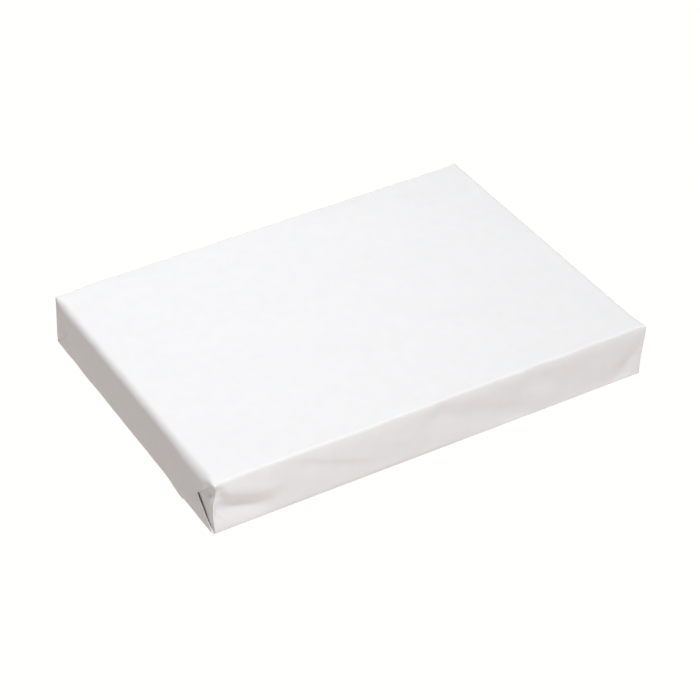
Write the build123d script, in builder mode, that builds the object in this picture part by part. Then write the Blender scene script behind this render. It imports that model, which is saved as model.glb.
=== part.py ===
"""Wrapped ream of A3 copier paper, modelled as the one sealed pack that it is.

The wrapper is a tube of paper around the long way of the stack. Each short end is
closed like a parcel: the side tucks go in first, then the bottom flap folds up,
then the top flap folds down over it and reaches almost to the bottom edge.

Frame: origin at the bottom centre of the pack, +X along its length, +Z up.
All sizes are in millimetres.
"""

from build123d import *

import os

# ---------------------------------------------------------------- the stack inside
sheet_length = 420.0  # A3
sheet_width = 297.0
sheet_count = 500
sheet_caliper = 0.102  # copier paper of 80 g/m2

# ---------------------------------------------------------------- the wrapper
wrap_caliper = 0.12  # coated wrapping paper
wrap_slack = 0.4  # air left between the stack's edges and the wrapper
fold_pitch = 0.35  # what one folded layer adds on an end: its caliper and its spring
flap_edge_gap = 1.5  # bare strip between the top flap's cut edge and the bottom fold

# ---------------------------------------------------------------- bends and creases
top_bend = 1.6  # radius of the bends along the top of the long sides
base_bend = 1.0  # radius of the bends along the bottom of the long sides
top_flap_bend = 1.4  # radius where the top turns down into the top flap
base_flap_bend = 0.6  # radius where the bottom turns up into the bottom flap
tuck_bend = 0.25  # radius where a long side turns in to its tuck
crease_round = 0.25  # rounding of the doubled, creased edges of the flaps

# ---------------------------------------------------------------- small openings
pocket_depth = 4.0  # how far in a flap's creased edge stands clear of the tuck
pocket_gap = 0.3  # height of that slit
lap_step_width = 3.0  # ramp beside the cut edge of the lengthwise lap, underneath
lap_offset = 20.0  # distance of that cut edge from the middle of the bottom

# ---------------------------------------------------------------- what follows
pack_width = sheet_width + 2 * (wrap_slack + wrap_caliper)
pack_height = sheet_count * sheet_caliper + 2 * wrap_caliper
core_length = sheet_length + 2 * wrap_slack  # up to where the end layers begin
overhang = pack_height - flap_edge_gap  # length of tube past the stack at each end

tuck_level = fold_pitch  # one layer
bottom_flap_level = 3 * fold_pitch  # tuck, its folded corner, flap
top_flap_level = 5 * fold_pitch  # the same again over the bottom flap
pack_length = core_length + 2 * top_flap_level

half_length = core_length / 2
half_width = pack_width / 2
half_height = pack_height / 2
over = 1.0  # cutters run this far past what they cut


def end_plane(level):
    """Plane on the +X end at a fold level. Local x runs along +Y, local y runs up."""
    return Plane(
        origin=(half_length + level, 0, 0), x_dir=(0, 1, 0), z_dir=(1, 0, 0)
    )


def round_section():
    """Draws the pack's section across its length, inside an open sketch."""
    with Locations((0, half_height)):
        Rectangle(pack_width, pack_height)
    fillet(vertices().group_by(Axis.Y)[-1], top_bend)
    fillet(vertices().group_by(Axis.Y)[0], base_bend)


def folded_flap(base_z, edge_z, level, bend):
    """One flap of the +X end, from its fold at base_z to its cut edge at edge_z.

    Its sides are creases at 45 degrees, so it narrows by its own length each side.
    """
    flap_length = abs(edge_z - base_z)
    with BuildPart() as flap:
        with BuildSketch(end_plane(0)):
            with BuildLine():
                Polyline(
                    (-half_width, base_z),
                    (half_width, base_z),
                    (half_width - flap_length, edge_z),
                    (flap_length - half_width, edge_z),
                    close=True,
                )
            make_face()
        extrude(amount=level)
        outer_edges = faces().sort_by(Axis.X)[-1].edges()
        fillet(outer_edges.filter_by(Axis.Y, reverse=True), crease_round)
        # The bend at the fold, as the flap's profile seen from the long side.
        with BuildSketch(Plane.XZ):
            with Locations((half_length + level / 2, (base_z + edge_z) / 2)):
                Rectangle(level, flap_length)
            outer_corners = vertices().group_by(Axis.X)[-1]
            fillet(outer_corners.sort_by(lambda v: abs(v.Y - base_z))[0], bend)
        extrude(amount=half_width, both=True, mode=Mode.INTERSECT)
        with BuildSketch(end_plane(0)):
            round_section()
        extrude(amount=level, mode=Mode.INTERSECT)
    return flap.part


# The top flap's cut edge hides the bottom flap's, which is as long.
top_flap = folded_flap(pack_height, flap_edge_gap, top_flap_level, top_flap_bend)
bottom_flap = folded_flap(0, overhang, bottom_flap_level, base_flap_bend)

with BuildPart() as wrapped_ream:
    # The wrapped block, out to the tucks that lie against the ends of the stack.
    with BuildSketch(Plane.YZ):
        round_section()
    extrude(amount=half_length + tuck_level, both=True)
    end_faces = faces().filter_by(Axis.X)
    fillet(end_faces.edges(), tuck_bend)

    # Both flaps over the tucks, at both ends.
    for flap in (bottom_flap, top_flap):
        add(flap)
        add(flap.mirror(Plane.YZ))

    # Slits under the creases, which stand clear of the tucks: at each corner they
    # run from the top fold and from the bottom fold to where the creases meet.
    with BuildSketch(end_plane(tuck_level)):
        for edge in (1, -1):
            corner = edge * half_width
            meeting = edge * (half_width - half_height)
            inner = edge * (half_width - half_height - pocket_depth)
            with BuildLine():
                Polyline(
                    (corner, 0),
                    (meeting, half_height),
                    (corner, pack_height),
                    (inner, half_height),
                    close=True,
                )
            make_face()
    slits = extrude(amount=pocket_gap, mode=Mode.PRIVATE)
    add(slits, mode=Mode.SUBTRACT)
    add(slits.mirror(Plane.YZ), mode=Mode.SUBTRACT)

    # The lengthwise lap: the ramp beside its cut edge, pressed flat by the stack.
    with BuildSketch(Plane.YZ):
        with BuildLine():
            Polyline(
                (lap_offset, -over),
                (lap_offset, wrap_caliper),
                (lap_offset + lap_step_width, 0),
                (lap_offset + lap_step_width, -over),
                close=True,
            )
        make_face()
    extrude(amount=pack_length / 2 + over, both=True, mode=Mode.SUBTRACT)

os.makedirs("parts", exist_ok=True)
wrapped_ream.part.label = "wrapped_ream"
export_step(wrapped_ream.part, "parts/wrapped_ream.step")
print("pack", round(pack_length, 2), round(pack_width, 2), round(pack_height, 2))
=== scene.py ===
"""Looks of the wrapped ream: its wrapper as one folded sheet of white coated paper.

The sheet is a tube round the stack. Past each end of the stack the tube is folded
flat: the side tucks turn in, the bottom flap folds up and the top flap folds down
over it, and their corners turn under along creases at 45 degrees.

Every point of the sheet is placed by the folding first. Then the dents and the slack
of the real pack move it. Lengths are in millimetres until the mesh is made, in the
frame of the CAD part. Places on the pack are often given from its left end (-X) and
from its front side (-Y).
"""

import math

import bmesh
import bpy
import numpy as np
from mathutils import Matrix, Vector


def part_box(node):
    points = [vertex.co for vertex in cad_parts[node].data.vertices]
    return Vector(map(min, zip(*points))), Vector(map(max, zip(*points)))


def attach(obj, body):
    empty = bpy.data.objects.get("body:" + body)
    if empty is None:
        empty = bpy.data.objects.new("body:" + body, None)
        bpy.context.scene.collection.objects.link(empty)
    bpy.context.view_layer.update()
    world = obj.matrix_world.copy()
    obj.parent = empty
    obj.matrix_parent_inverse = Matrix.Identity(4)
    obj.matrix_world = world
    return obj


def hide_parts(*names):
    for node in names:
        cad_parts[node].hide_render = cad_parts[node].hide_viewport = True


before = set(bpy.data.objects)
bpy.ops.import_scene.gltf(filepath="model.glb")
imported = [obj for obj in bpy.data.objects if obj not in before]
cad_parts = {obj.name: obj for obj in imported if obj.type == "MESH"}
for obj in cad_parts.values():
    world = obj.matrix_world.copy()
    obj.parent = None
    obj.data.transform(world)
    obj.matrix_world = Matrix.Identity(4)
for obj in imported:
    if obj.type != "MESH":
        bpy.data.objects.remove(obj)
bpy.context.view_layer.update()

MM = 0.001
NODE = "wrapped_ream"

# ---------------------------------------------------------------- the pack, from the frame
low, high = (np.array(corner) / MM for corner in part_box(NODE))
PACK_LENGTH = high[0] - low[0]
PACK_WIDTH = high[1] - low[1]
PACK_HEIGHT = high[2] - low[2]
FOLD_PITCH = 0.35  # one folded layer on an end, as in the CAD part
END_LAYERS = 5  # thickness of the folded end, in layers
HALF_CORE = PACK_LENGTH / 2 - END_LAYERS * FOLD_PITCH  # up to where the end layers begin
HALF_WIDTH = PACK_WIDTH / 2
FLAP_EDGE_GAP = 1.5  # bare strip under the top flap's cut edge
OVERHANG = PACK_HEIGHT - FLAP_EDGE_GAP  # length of tube past the stack at each end
PAPER = 0.12  # thickness of the wrapper

# ---------------------------------------------------------------- bends of the wrapper
BASE_BEND = 1.2  # along the bottom of the long sides
BASE_FOLD_BEND = 0.7  # where the bottom turns up into the bottom flap
SIDE_FOLD_BEND = 0.9  # where a long side turns in to its tuck
CREASE_BEND = 0.3  # the creased edges of the flaps
TUCK_FOLD_BEND = 1.0  # the doubled edge inside a corner, between tuck and triangle
# Where the top turns down over an end: the bend's reach where it is sharp and where it
# is rolled, first in along the top and then down the end.
TOP_FOLD_IN = (2.0, 6.5)
TOP_FOLD_DOWN = (4.0, 9.0)
TOP_FOLD_EASE = 18  # length from a corner over which it goes from sharp to rolled
# The long top edges: the bend's reach (inwards, down the side) at a corner, and what is
# added to it or taken from it away from the corners.
CORNER_REACH = (1.5, 5.0)
CORNER_EASE = 8  # length from a corner over which the bend opens
FRONT_MORE = (3.0, 9.0)
BACK_MORE = (2.0, 7.0)
ROLLED_MORE = (0.0, 4.0)  # the front edge, where it is rolled
RIGHT_LESS = (0.6, 4.0)  # the front edge, in its right half
PINCH_SHARE = (0.55, 0.7)  # share of the reach that the pinch takes away
SHARP_ANGLE = 50  # degrees between two faces, past which their edge is shaded sharp

# ---------------------------------------------------------------- layers on an end
BOTTOM_FLAP = 0.55  # how far the flaps stand out from the stack, before their lift
TOP_FLAP = 1.1
FLAT_LIFT = 0.3  # lift of the flaps off the tucks, all along an end
# The rest of the lift, near each lower corner: by end (-1 left) and side (-1 front).
CORNER_LIFTS = {(-1, -1): 2.3, (-1, 1): 0.4, (1, -1): 1.2, (1, 1): 0.9}
BOTTOM_SHARE = 0.6  # share of the lift that the bottom flap takes
TUCK_BULGE = 0.5  # how far a tuck bulges beside its upright edge
DOUBLED = 0.25  # how far the triangle under a flap stands off its tuck
OPENED = 1.3  # how far that triangle hangs back from the bottom flap at an open corner
RIPPLE = 0.08  # height of the flaps' ripples
TUCK_GAP = 1.5  # how far the layers keep below the top flap's bend
BOTTOM_GAP = 0.4
TRIANGLE_GAP = 0.2

# ---------------------------------------------------------------- dents and slack
LAP_PLACE = 20.0  # distance of the lengthwise lap's cut edge from the middle
LAP_STEP = 0.25  # height of the step there
ROLL_STARTS = (80, 112)  # where the front's top edge begins to roll, and is rolled
ROLL_ENDS = (207, 192)  # where it is no longer rolled, and still is
PINCH = (214, 9)  # place and width of the pinch in that edge
PINCH_DEPTH = 1.1
RIGHT_HALF = (220, 260)  # where the edge passes to its tighter right half
TAUT = (215, 260)  # where the front face becomes tauter
TAUT_LESS = 0.8
FRONT_SLACK = 0.9  # how far the front bulges where nothing dents it
BACK_SLACK = 0.3
ROLLED_SLACK = 0.7  # added below the rolled edge
CRUSH = 4.6  # how far the near-left upright edge is pushed in below the top
DIAGONAL = 0.7  # share of that push along x, and along y
FAR_LEAN = 3.0  # how far the far-left upright edge leans in
EAR = 2.2  # how far the near-right corner stands out at the top
WIDENING = 0.0087  # share by which the stack is wider at its right end
# Dents of the long sides: start and end, as (from the left, height), the widths on the
# left and right of the way between them, and the depth. A negative depth stands out.
CRUSHED_DENT = ((-2, 29), (46, 6), (10, 22), 5.4)
CRUSHED_LIP = ((-6, 47), (56, 27), (8, 9), -1.8)
RIGHT_DENT = ((432, 36), (396, 4), (12, 10), 3.0)
CRINKLE = ((-0.5, 25), (9, 12), (1.5, 1.5), -0.7)
FRONT_DENTS = (
    ((72, 43), (142, 15), (4, 9), 1.0),
    ((196, 38), (300, 8), (12, 12), 1.8),
    ((284, 47), (318, 10), (9, 9), -0.6),
    ((300, 38), (370, 10), (12, 12), 1.1),
)
BACK_DENTS = (
    ((60, 48), (120, 14), (9, 7), 1.1),
    ((330, 46), (270, 12), (8, 8), 0.9),
)
# Valleys of the top: the same, with their ends as (from the left, from the front).
TOP_DENTS = (
    ((100, 170), (340, 20), (22, 22), 0.35),
    ((421, 120), (320, 150), (25, 25), 0.3),
)

# ---------------------------------------------------------------- density of the mesh
COARSE_STEP = 4.2  # between the sheet's rows where it is smooth
# Finer stretches: the centre, half the length, and the step between rows there.
FINE_ROWS = (
    (-HALF_CORE, 22, 1.1),
    (HALF_CORE, 10, 1.4),
    (-HALF_CORE + 92, 26, 2.2),
    (-HALF_CORE + 208, 14, 1.4),
)
# Steps away from a fold: the first, the growth of each next one, and the largest.
PAST_STEPS = (0.15, 1.2, 2.0)
SIDE_STEPS = (0.3, 1.3, 1.5)
MIDDLE_NODES = 17  # nodes from where the creases end to the middle of the top or bottom
LAP_NODES = (0, -0.1, -1.5, -4)  # extra columns at the lap and beyond it
CAP_INSET = 7  # how far inside the stack the inner skin is closed

# ---------------------------------------------------------------- colours and camera
# Places and sizes of the floor, lights and camera are in metres.
PAPER_LIGHT = (0.757, 0.752, 0.748)
PAPER_DARK = (0.729, 0.724, 0.72)
FLOOR_COLOUR = (0.02, 0.02, 0.02)
FLOOR_GLOW = (1.06, 0.985, 0.955)  # light that the floor gives off
FLOOR_HALF = 3.0
ROOM_LIGHT = (1.0, 0.93, 0.89)
ROOM_STRENGTH = 0.04
WHITE = (1, 1, 1)
COOL_WHITE = (1, 1.01, 1.03)
CAMERA_TARGET = (0.00781, 0.00553, 0)
CAMERA_DISTANCE = 1.9766
CAMERA_ANGLES = (-31.6015, 37.6479, 0.9791)  # azimuth, elevation and roll, in degrees
CAMERA_LENS = 114.39  # lens and sensor in millimetres
CAMERA_SENSOR = 36


# ================================================================ helpers for shapes

def smooth(x, start, end):
    """0 before start, 1 past end, and an S-shaped rise between them."""
    x = np.clip((x - start) / (end - start), 0, 1)
    return x * x * (3 - 2 * x)


def bump(x, centre, width):
    """1 at the centre, and close to 0 past two widths from it."""
    return np.exp(-(((x - centre) / width) ** 2))


def between(pair, share):
    """From the pair's first value, at a share of 0, to its second, at 1."""
    return pair[0] + (pair[1] - pair[0]) * share


def ramp(t, reach, back=None):
    """0 for negative t and t for positive t, with a parabolic bend between the two.

    The bend takes up the length from -back to reach; back is reach if it isn't given.
    """
    back = reach if back is None else back
    bend = reach * ((t + back) / (reach + back)) ** 2
    return np.where(t > reach, t, np.where(t < -back, 0, bend))


def spread(length, first, growth, largest):
    """Distances from 0 to length: the first step is small, and each next one larger."""
    steps = [first]
    while sum(steps) < length:
        steps.append(min(steps[-1] * growth, largest))
    nodes = np.concatenate([[0], np.cumsum(steps)])
    return nodes * length / nodes[-1]


def waves(x, y, seed, longest, shortest, count=24):
    """A smooth random field of about unit height, from plane waves of mixed length."""
    random = np.random.RandomState(seed)
    field = np.zeros_like(x, dtype=float)
    for _ in range(count):
        length = math.exp(random.uniform(math.log(shortest), math.log(longest)))
        angle = random.uniform(0, math.pi)
        phase = random.uniform(0, 2 * math.pi)
        along = x * math.cos(angle) + y * math.sin(angle)
        field += np.sin(2 * math.pi * along / length + phase)
    return field / math.sqrt(count / 2)


def furrow(x, y, start, end, width, depth, ease=0.2):
    """Height of a furrow from start to end. width is (left side, right side) of that way."""
    way = np.array(end, float) - start
    length = math.hypot(*way)
    way /= length
    along = ((x - start[0]) * way[0] + (y - start[1]) * way[1]) / length
    aside = (y - start[1]) * way[0] - (x - start[0]) * way[1]
    spans = np.where(aside > 0, width[0], width[1])
    ends = smooth(along, -ease, ease) * smooth(along, 1 + ease, 1 - ease)
    return -depth * ends * np.exp(-((aside / spans) ** 2))


def dented(x, y, dents):
    """Height of several furrows together."""
    return sum(furrow(x, y, *dent) for dent in dents)


# ================================================================ the folded sheet

def row_places():
    """Places along the stack of the sheet's rows, closer together where it is crumpled."""
    half = HALF_CORE
    places = [-half]
    while places[-1] < half:
        x = places[-1]
        step = COARSE_STEP
        for centre, reach, size in FINE_ROWS:
            near = smooth(abs(x - centre), reach, 2 * reach)
            step = min(step, between((size, COARSE_STEP), near))
        places.append(x + step)
    places = np.array(places)
    return -half + (places + half) * 2 * half / (places[-1] + half)


def sheet_rows():
    """Rows of the sheet: which end, place along the stack, and length past the fold."""
    past = spread(OVERHANG, *PAST_STEPS)
    body = row_places()
    left = [(-1, -HALF_CORE, s) for s in past[:0:-1]]
    middle = [(-1 if x < 0 else 1, x, 0.0) for x in body]
    right = [(1, HALF_CORE, s) for s in past[1:]]
    rows = np.array(left + middle + right)
    return rows, past


def sheet_columns(past):
    """Columns round the tube, by their nearest long edge and signed distance from it.

    The distance is positive on the top and bottom and negative on the long sides.
    Going round: top from front to back, back side, bottom, front side.
    """
    to_middle = HALF_WIDTH - OVERHANG
    across = np.linspace(0, to_middle, MIDDLE_NODES)[1:] + OVERHANG
    half_panel = np.concatenate([past, across])
    half_side = spread(PACK_HEIGHT / 2, *SIDE_STEPS)
    lap = HALF_WIDTH - LAP_PLACE
    half_base = np.sort(np.concatenate([half_panel, lap + np.array(LAP_NODES)]))
    columns = []
    # front-top edge to middle of the top, and on to the back-top edge
    columns += [(-1, 1, t) for t in half_panel]
    columns += [(1, 1, t) for t in half_panel[-2::-1]]
    # back side, down
    columns += [(1, 1, -t) for t in half_side[1:]]
    columns += [(1, -1, -t) for t in half_side[-2::-1]]
    # bottom, from the back-bottom edge to the front-bottom edge
    columns += [(1, -1, t) for t in half_base[1:]]
    columns += [(-1, -1, t) for t in half_panel[-2::-1]]
    # front side, up
    columns += [(-1, -1, -t) for t in half_side[1:]]
    columns += [(-1, 1, -t) for t in half_side[-2:0:-1]]
    return np.array(columns)


def folded(rows, columns):
    """Where every node of the sheet lies: arrays of x, y and z, one row per sheet row.

    past is the length of sheet beyond the end fold and t the signed distance from the
    nearest long edge. inward is measured from the long side, drop from the top or the
    bottom face. A crease runs where past equals t.
    """
    end, along, past = (rows[:, k][:, None] for k in range(3))
    side, level, t = (columns[:, k][None, :] for k in range(3))
    is_top = level > 0
    panel = smooth(t, -1, 1)  # 0 on a long side, 1 on the top or bottom

    # the bend at the end of the stack: how far it reaches in along x, and down
    reaches = (np.where(is_top, reach, BASE_FOLD_BEND) for reach in top_fold(t, end))
    in_reach, down_reach = (between((SIDE_FOLD_BEND, reach), panel) for reach in reaches)
    inside = HALF_CORE - np.abs(along)
    body_x = inside + in_reach * (1 - smooth(inside, 0, 25))
    bent = bending(past, down_reach)
    short = np.where(past > 0, in_reach * bent, body_x)  # how far short of the end plane

    # the bend along the long edge: how far it reaches in along y, and down
    from_left = end * (HALF_CORE - short) + HALF_CORE
    edge_in, edge_down = edge_bend(side, is_top, from_left)
    fade = np.exp(-past / 1.5)
    crease_in, crease_down = (between((CREASE_BEND, edge), fade) for edge in (edge_in, edge_down))
    tuck, tuck_down = (between((TUCK_FOLD_BEND, edge), fade) for edge in (edge_in, edge_down))
    inward = past + ramp(t - past, crease_in, crease_down)
    drop = ramp(-t, tuck_down, tuck) + ramp(t, tuck) - ramp(t - past, crease_in)

    y = side * (HALF_WIDTH - inward)
    z = np.where(is_top, PACK_HEIGHT - drop, drop)
    rise = end_relief(end, side, is_top, t, past, y, z, 1 - bent, short)
    x = end * (HALF_CORE - short + rise)
    return x, y, z, inward, drop


def top_fold(inward, end):
    """Reach of the bend where the top turns down over an end: in along x, and down.

    The fold is rolled over the left end and sharp over the right one.
    """
    full = smooth(inward, 0, TOP_FOLD_EASE) * (end < 0)
    return between(TOP_FOLD_IN, full), between(TOP_FOLD_DOWN, full)


def bending(along, reach):
    """1 where a bend starts, and 0 from its reach on."""
    return (1 - np.sqrt(np.clip(along / reach, 0, 1))) ** 2


def rolled(from_left):
    """1 where the front's top edge is rolled."""
    return smooth(from_left, *ROLL_STARTS) * smooth(from_left, *ROLL_ENDS)


def pinched(from_left):
    """1 where the front's top edge is pinched."""
    return bump(from_left, *PINCH)


def edge_bend(side, is_top, from_left):
    """Bend of the wrapper along a long edge: its reach inwards, and down or up.

    The front's top edge is tighter in its right half and at the pinch, and softer
    where it is rolled.
    """
    full = smooth(HALF_CORE - np.abs(from_left - HALF_CORE), 0, CORNER_EASE)
    right_half = smooth(from_left, *RIGHT_HALF)
    reaches = []
    for k in range(2):
        more = FRONT_MORE[k] + ROLLED_MORE[k] * rolled(from_left) - RIGHT_LESS[k] * right_half
        front = (CORNER_REACH[k] + more * full) * (1 - PINCH_SHARE[k] * pinched(from_left))
        back = CORNER_REACH[k] + BACK_MORE[k] * full
        reach = np.where(side > 0, back, front)
        reaches.append(np.where(is_top, reach, BASE_BEND))
    return reaches


# ================================================================ the layers on an end

def flap_lift(end, y, z):
    """How far the flaps stand off the tucks: not at all at the top, most at a corner."""
    lift = FLAT_LIFT
    for far_side in (-1, 1):
        reach = HALF_WIDTH - far_side * y
        corner = np.where(end < 0, CORNER_LIFTS[-1, far_side], CORNER_LIFTS[1, far_side])
        lift = lift + corner * smooth(reach, 88, 46)
    return lift * (1 - np.clip(z / PACK_HEIGHT, 0, 1) ** 2.5)


def pressed_under(layer, cover, gap, covered):
    """A layer that keeps a gap below its cover, where it is covered."""
    return between((layer, np.minimum(layer, cover - gap)), covered)


def end_relief(end, side, is_top, t, past, y, z, risen, short):
    """How far each layer on an end stands out from the stack.

    risen goes from 0 at the fold to 1 where the sheet has turned down the end, and
    short is how far the sheet is from the end plane in its bend.
    """
    inward = HALF_WIDTH - side * y
    drop = PACK_HEIGHT - z
    lift = flap_lift(end, y, z)
    rippled = RIPPLE * waves(y + 400 * end, z, 5, 60, 14)
    bulge = TUCK_BULGE * bump(inward, 6, 6) * smooth(z, 0, 12) * smooth(z, 51, 38)
    tuck = (FOLD_PITCH + bulge) * risen
    bottom = (BOTTOM_FLAP + BOTTOM_SHARE * lift + rippled) * risen
    flat_top = TOP_FLAP + lift + rippled
    top = flat_top * risen

    # what lies under the top flap keeps below its bend
    fold_in, fold_down = top_fold(inward, end)
    folding = bending(drop, fold_down)
    cover = flat_top * (1 - folding) - fold_in * folding + short
    covered = smooth(inward - drop, -1, 2)
    tuck = pressed_under(tuck, cover, TUCK_GAP, covered)
    bottom = np.minimum(bottom, cover - BOTTOM_GAP)

    # the triangles turned under, from the tuck's doubled edge to the flap's crease
    share = np.clip(np.where(past > 0, t / np.maximum(past, 1e-9), 1), 0, 1)
    doubled = tuck + DOUBLED * smooth(past, 0, 2)
    thick = FOLD_PITCH + OPENED * bump(past, 0, 14) * smooth(past, 0, 1)
    under_bottom = between((doubled, bottom - thick), share)
    under_top = between((doubled, top - FOLD_PITCH), np.sqrt(share))
    over_bottom = np.maximum(under_top, bottom + DOUBLED)
    under_top = between((under_top, over_bottom), smooth(inward - z, 0, 8))
    under_top = pressed_under(under_top, cover, TRIANGLE_GAP, covered)

    flap = np.where(is_top, top, bottom)
    under = np.where(is_top, under_top, under_bottom)
    on_crease = np.abs(t - past) < 1e-6
    rise = np.where(t < past, under, flap)
    rise = np.where(on_crease, (under + flap) / 2, rise)
    rise = np.where(t < 0, tuck, rise)
    rise = np.where(np.abs(t) < 1e-6, (tuck + doubled) / 2, rise)
    return np.where(past > 0, rise, 0)


# ================================================================ dents and slack

def front_relief(x, z):
    """Outward relief of the front long side; x is measured from the left end."""
    relief = FRONT_SLACK + ROLLED_SLACK * rolled(x) * smooth(z, 0, 30)
    relief -= TAUT_LESS * smooth(x, *TAUT)
    relief -= PINCH_DEPTH * pinched(x) * smooth(z, 20, 50)
    relief += furrow(x, z, *CRUSHED_DENT) * smooth(x, -9, 5) * smooth(z, -2, 20)
    relief += furrow(x, z, *CRUSHED_LIP) * smooth(x, -4, 12)
    relief += furrow(x, z, *RIGHT_DENT) * smooth(x, 424, 408)
    relief += dented(x, z, FRONT_DENTS)
    relief += 0.2 * waves(x, z, 11, 90, 25) + 0.04 * waves(x, z, 12, 22, 8)
    return relief * smooth(z, 0, 5)


def back_relief(x, z):
    """Outward relief of the back long side, which the photo doesn't show."""
    relief = BACK_SLACK + dented(x, z, BACK_DENTS)
    relief += 0.2 * waves(x, z, 21, 90, 25) + 0.05 * waves(x, z, 22, 22, 8)
    return relief * smooth(z, 0, 5)


def top_relief(x, y):
    """Upward relief of the top, measured from the left end and the front side."""
    relief = dented(x, y, TOP_DENTS)
    return relief + 0.15 * waves(x, y, 31, 220, 80) + 0.03 * waves(x, y, 32, 50, 20)


def lap_step(y):
    """The small step underneath, where one end of the sheet lies over the other."""
    beyond = y - LAP_PLACE
    return LAP_STEP * np.exp(-np.abs(beyond) / 10) * smooth(beyond, 0, 0.1)


def crushed_corner(from_left, from_front, z):
    """How far the near-left upright edge is pushed in along x and along y."""
    reach = np.hypot(from_left, from_front)
    pushed = CRUSH * bump(reach, 0, 9) * smooth(z, 51.5, 44) * smooth(z, 27, 37)
    return DIAGONAL * pushed


def far_left_lean(from_left, from_front, z):
    """How far the far-left upright edge leans in towards its top."""
    return FAR_LEAN * smooth(z, 0, 45) * smooth(from_left, 45, 0) * smooth(from_front, 240, 298)


def near_right_ear(from_left, from_front, z):
    """How far the near-right corner stands out along x at the top."""
    return EAR * smooth(z, 8, 50) * smooth(from_left, 395, 421) * bump(from_front, 0, 14)


def slackened(x, y, z, inward, drop, columns, rows):
    """Moves the folded sheet by its dents, slack and small leans."""
    side, level, t = (columns[:, k][None, :] for k in range(3))
    past = rows[:, 2][:, None]
    from_left = x + HALF_CORE
    from_front = y + HALF_WIDTH
    body = np.exp(-past / 2)  # 1 round the stack, fading past its ends

    sideways = np.where(side < 0, front_relief(from_left, z), back_relief(from_left, z))
    y = y + side * sideways * bump(inward, 0, 12) * body
    on_top = bump(drop, 0, 3) * (level > 0) * body * smooth(inward, 0, 15)
    z = z + top_relief(from_left, from_front) * on_top
    z = z + lap_step(y) * (level < 0) * (t > 0) * bump(drop, 0, 1) * body

    pushed = crushed_corner(from_left, from_front, z)
    x = x + pushed
    y = y + pushed
    y = y - furrow(from_left, z, *CRINKLE) * bump(from_front, 0, 3) * body
    y = y - far_left_lean(from_left, from_front, z)
    x = x + near_right_ear(from_left, from_front, z)
    y = y * (1 + WIDENING * x / HALF_CORE)
    return x, y, np.maximum(z, 0)


# ================================================================ mesh of the wrapper

def grid_faces(height, width):
    """Outward quads of a sheet that closes on itself across its columns."""
    r, q = np.meshgrid(np.arange(height - 1), np.arange(width), indexing="ij")
    after = (q + 1) % width
    corners = [r * width + q, (r + 1) * width + q, (r + 1) * width + after, r * width + after]
    return np.stack(corners, -1).reshape(-1, 4)


def vertex_normals(points, faces):
    """Averaged face normals: short where the sheet is folded flat on itself."""
    corner = points[faces]
    normal = np.cross(corner[:, 2] - corner[:, 0], corner[:, 3] - corner[:, 1])
    area = np.linalg.norm(normal, axis=1)
    total = np.zeros_like(points)
    weight = np.zeros(len(points))
    for k in range(4):
        np.add.at(total, faces[:, k], normal)
        np.add.at(weight, faces[:, k], area)
    return total / np.maximum(weight, 1e-12)[:, None]


def inner_skin(outer, faces, side, level, t, past):
    """The other face of the paper, which shows where the flaps stand open."""
    zero = np.zeros_like(t)
    on_crease = bump(t - past, 0, 0.8)[:, None]
    on_tuck = bump(t, 0, 0.8)[:, None]
    crease_way = np.stack([zero, side, -level], -1) / math.sqrt(2)
    tuck_way = np.stack([zero, zero, -level], -1)
    normal = vertex_normals(outer, faces)
    length = np.linalg.norm(normal, axis=1, keepdims=True)
    normal = normal + (1 - length) * (on_crease * crease_way + on_tuck * tuck_way)
    normal /= np.maximum(np.linalg.norm(normal, axis=1, keepdims=True), 1e-9)
    thickness = PAPER * (0.4 + 0.6 * smooth(past, 0, 1))
    return outer - normal * thickness[:, None]


def split_at_creases(faces, creased):
    """Quads as they are, but as two triangles where a crease runs through them."""
    on = creased[faces]
    along = on[:, 0] & on[:, 2]
    across = on[:, 1] & on[:, 3]
    whole = ~(along | across)
    split = [faces[along][:, [0, 1, 2]], faces[along][:, [0, 2, 3]]]
    split += [faces[across][:, [1, 2, 3]], faces[across][:, [1, 3, 0]]]
    return faces[whole].tolist() + np.concatenate(split).tolist()


def wrapper_faces(height, width, open_rows, creased):
    """Faces of the closed wrapper, its points numbered outer skin, inner skin, two caps.

    open_rows is how many rows at each end have both faces of the paper.
    """
    count = height * width
    quads = grid_faces(height, width)
    first_row = quads[:, 0] // width
    last = height - open_rows
    doubled = (first_row < open_rows - 1) | (first_row >= last)
    inner = quads[doubled][:, ::-1] + count

    ring = np.arange(width)
    after = (ring + 1) % width
    tail = (height - 1) * width
    rim_left = np.stack([ring, after, after + count, ring + count], -1)
    rim_right = np.stack([after, ring, ring + count, after + count], -1) + tail
    deep_left = (open_rows - 1) * width + count
    deep_right = last * width + count
    cap_left = np.stack([ring + deep_left, after + deep_left, 0 * ring + 2 * count], -1)
    cap_right = np.stack([after + deep_right, ring + deep_right, 0 * ring + 2 * count + 1], -1)

    both = np.concatenate([creased, creased])
    faces = split_at_creases(np.concatenate([quads, inner]), both)
    faces += rim_left.tolist() + rim_right.tolist()
    faces += cap_left[:, ::-1].tolist() + cap_right[:, ::-1].tolist()
    return faces


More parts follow.
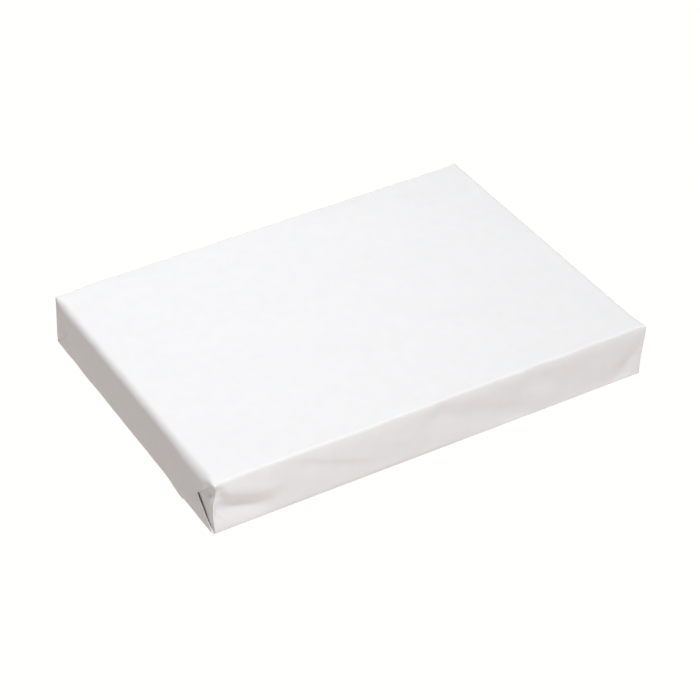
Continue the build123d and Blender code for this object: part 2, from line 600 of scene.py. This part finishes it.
def make_wrapper():
    """The folded and slackened sheet as a closed mesh, thick where its flaps are open."""
    rows, past_nodes = sheet_rows()
    columns = sheet_columns(past_nodes)
    height, width = len(rows), len(columns)
    x, y, z, inward, drop = folded(rows, columns)
    x, y, z = slackened(x, y, z, inward, drop, columns, rows)
    outer = np.stack([x, y, z], -1).reshape(-1, 3)

    grid = (height, width)
    side, level, t = (np.broadcast_to(columns[:, k], grid).ravel() for k in range(3))
    past = np.repeat(rows[:, 2], width)
    inner = inner_skin(outer, grid_faces(height, width), side, level, t, past)
    creased = (np.abs(t - past) < 1e-9) & (past > 0)
    inner_end = HALF_CORE - CAP_INSET
    centres = np.array([[end * inner_end, 0, PACK_HEIGHT / 2] for end in (-1, 1)])
    faces = wrapper_faces(height, width, len(past_nodes), creased)

    mesh = bpy.data.meshes.new("wrapper")
    points = np.concatenate([outer, inner, centres])
    mesh.from_pydata((points * MM).tolist(), [], faces)
    drop_loose_points(mesh)
    mesh.shade_smooth()
    mesh.set_sharp_from_angle(angle=math.radians(SHARP_ANGLE))
    wrapper = bpy.data.objects.new("wrapper", mesh)
    bpy.context.scene.collection.objects.link(wrapper)
    return wrapper


def drop_loose_points(mesh):
    """Removes the inner skin's points that no face uses."""
    work = bmesh.new()
    work.from_mesh(mesh)
    loose = [point for point in work.verts if not point.link_faces]
    bmesh.ops.delete(work, geom=loose, context="VERTS")
    work.to_mesh(mesh)
    work.free()


# ================================================================ materials

COLOUR_A, COLOUR_B, COLOUR_RESULT = 6, 7, 2  # sockets of a Mix node that mixes colours


def node(tree, kind, **values):
    """A node of a tree, with its properties or inputs set by name."""
    made = tree.nodes.new(kind)
    for name, value in values.items():
        if hasattr(made, name):
            setattr(made, name, value)
        else:
            made.inputs[name.replace("_", " ")].default_value = value
    return made


def noise(tree, place, scale, detail=2.0, roughness=0.5):
    """The value of a noise texture, with scale in features per metre."""
    made = node(tree, "ShaderNodeTexNoise", Scale=scale, Detail=detail, Roughness=roughness)
    tree.links.new(place, made.inputs["Vector"])
    return made.outputs["Fac"]


def mapped(tree, value, low_out, high_out):
    """A noise value spread from low_out to high_out."""
    made = node(tree, "ShaderNodeMapRange", From_Min=0.3, From_Max=0.7)
    made.inputs["To Min"].default_value = low_out
    made.inputs["To Max"].default_value = high_out
    tree.links.new(value, made.inputs["Value"])
    return made.outputs["Result"]


def wrapper_paper():
    """White coated wrapping paper: faintly mottled, satin, with fibres and cockle."""
    material = bpy.data.materials.new("wrapper_paper")
    material.use_nodes = True
    tree = material.node_tree
    shader = tree.nodes["Principled BSDF"]
    shader.inputs["Specular IOR Level"].default_value = 0.3
    shader.inputs["Coat Weight"].default_value = 0.06
    shader.inputs["Coat Roughness"].default_value = 0.35
    place = node(tree, "ShaderNodeTexCoord").outputs["Object"]

    # colour: cloudy formation of the sheet and fine speckle of its fibres
    cloudy = noise(tree, place, 90, 3)
    speckle = noise(tree, place, 1400, 2)
    clouds = node(tree, "ShaderNodeMix", data_type="RGBA")
    clouds.inputs[COLOUR_A].default_value = (*PAPER_DARK, 1)
    clouds.inputs[COLOUR_B].default_value = (*PAPER_LIGHT, 1)
    mixing = node(tree, "ShaderNodeMath", operation="ADD", use_clamp=True)
    tree.links.new(mapped(tree, cloudy, 0, 0.6), mixing.inputs[0])
    tree.links.new(mapped(tree, speckle, 0, 0.4), mixing.inputs[1])
    tree.links.new(mixing.outputs[0], clouds.inputs[0])
    tree.links.new(clouds.outputs[COLOUR_RESULT], shader.inputs["Base Color"])

    # roughness: the coating lies a little unevenly
    uneven = mapped(tree, noise(tree, place, 160, 3), 0.42, 0.56)
    tree.links.new(uneven, shader.inputs["Roughness"])

    # relief: cockle over centimetres, grain over tenths of a millimetre
    cockle = noise(tree, place, 55, 2)
    grain = noise(tree, place, 2400, 3)
    coarse = node(tree, "ShaderNodeBump", Strength=1.0, Distance=0.00012)
    fine = node(tree, "ShaderNodeBump", Strength=1.0, Distance=0.000006)
    tree.links.new(cockle, coarse.inputs["Height"])
    tree.links.new(grain, fine.inputs["Height"])
    tree.links.new(coarse.outputs["Normal"], fine.inputs["Normal"])
    tree.links.new(fine.outputs["Normal"], shader.inputs["Normal"])
    return material


def floor_finish():
    """A nearly black matt finish that gives off light: it shows white, with hardly a shadow."""
    material = bpy.data.materials.new("floor")
    material.use_nodes = True
    shader = material.node_tree.nodes["Principled BSDF"]
    shader.inputs["Base Color"].default_value = (*FLOOR_COLOUR, 1)
    shader.inputs["Emission Color"].default_value = (*FLOOR_GLOW, 1)
    shader.inputs["Emission Strength"].default_value = 1.0
    shader.inputs["Roughness"].default_value = 0.9
    shader.inputs["Specular IOR Level"].default_value = 0.1
    return material


# ================================================================ studio

def make_floor():
    """A square of floor in the plane of the pack's base."""
    half = FLOOR_HALF
    corners = [(-half, -half, 0), (half, -half, 0), (half, half, 0), (-half, half, 0)]
    mesh = bpy.data.meshes.new("floor")
    mesh.from_pydata(corners, [], [(0, 1, 2, 3)])
    floor = bpy.data.objects.new("floor", mesh)
    bpy.context.scene.collection.objects.link(floor)
    mesh.materials.append(floor_finish())
    return floor


def softbox(name, place, target, width, depth, power, colour):
    """A rectangular area light, aimed from place at target."""
    light = bpy.data.lights.new(name, "AREA")
    light.shape = "RECTANGLE"
    light.size = width
    light.size_y = depth
    light.energy = power
    light.color = colour
    lamp = bpy.data.objects.new(name, light)
    lamp.location = place
    lamp.rotation_euler = (Vector(target) - Vector(place)).to_track_quat("-Z", "Y").to_euler()
    bpy.context.scene.collection.objects.link(lamp)


def make_lights():
    """A high frontal key, a soft light over the back of the top, and a weak low fill."""
    scene = bpy.context.scene
    world = bpy.data.worlds.new("studio")
    scene.world = world
    world.use_nodes = True
    background = world.node_tree.nodes["Background"]
    background.inputs["Color"].default_value = (*ROOM_LIGHT, 1)
    background.inputs["Strength"].default_value = ROOM_STRENGTH
    softbox("key", (-0.12, -1.83, 4.1), (0, 0, 0), 0.4, 0.7, 166, COOL_WHITE)
    softbox("back_top", (-0.13, 0.36, 1.15), (-0.1, 0.1, 0), 0.2, 0.3, 6.6, COOL_WHITE)
    softbox("front_fill", (-0.2, -0.6, 0.12), (-0.1, 0, 0.02), 0.2, 0.1, 0.27, WHITE)
    scene.view_settings.view_transform = "Standard"


def make_camera():
    """A long lens that looks down on the near-left corner of the pack."""
    azimuth, elevation, roll = (math.radians(angle) for angle in CAMERA_ANGLES)
    right = Vector((math.cos(azimuth), math.sin(azimuth), 0))
    back = Vector((
        math.sin(azimuth) * math.cos(elevation),
        -math.cos(azimuth) * math.cos(elevation),
        math.sin(elevation),
    ))
    up = back.cross(right)
    right, up = (
        right * math.cos(roll) + up * math.sin(roll),
        up * math.cos(roll) - right * math.sin(roll),
    )
    camera = bpy.data.objects.new("camera", bpy.data.cameras.new("camera"))
    camera.data.sensor_width = CAMERA_SENSOR
    camera.data.lens = CAMERA_LENS
    camera.matrix_world = Matrix((right, up, back)).transposed().to_4x4()
    camera.location = Vector(CAMERA_TARGET) + back * CAMERA_DISTANCE
    bpy.context.scene.collection.objects.link(camera)
    bpy.context.scene.camera = camera


# ================================================================ the scene

wrapper = make_wrapper()
wrapper.data.materials.append(wrapper_paper())
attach(wrapper, "root")
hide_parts(NODE)
make_floor()
make_lights()
make_camera()
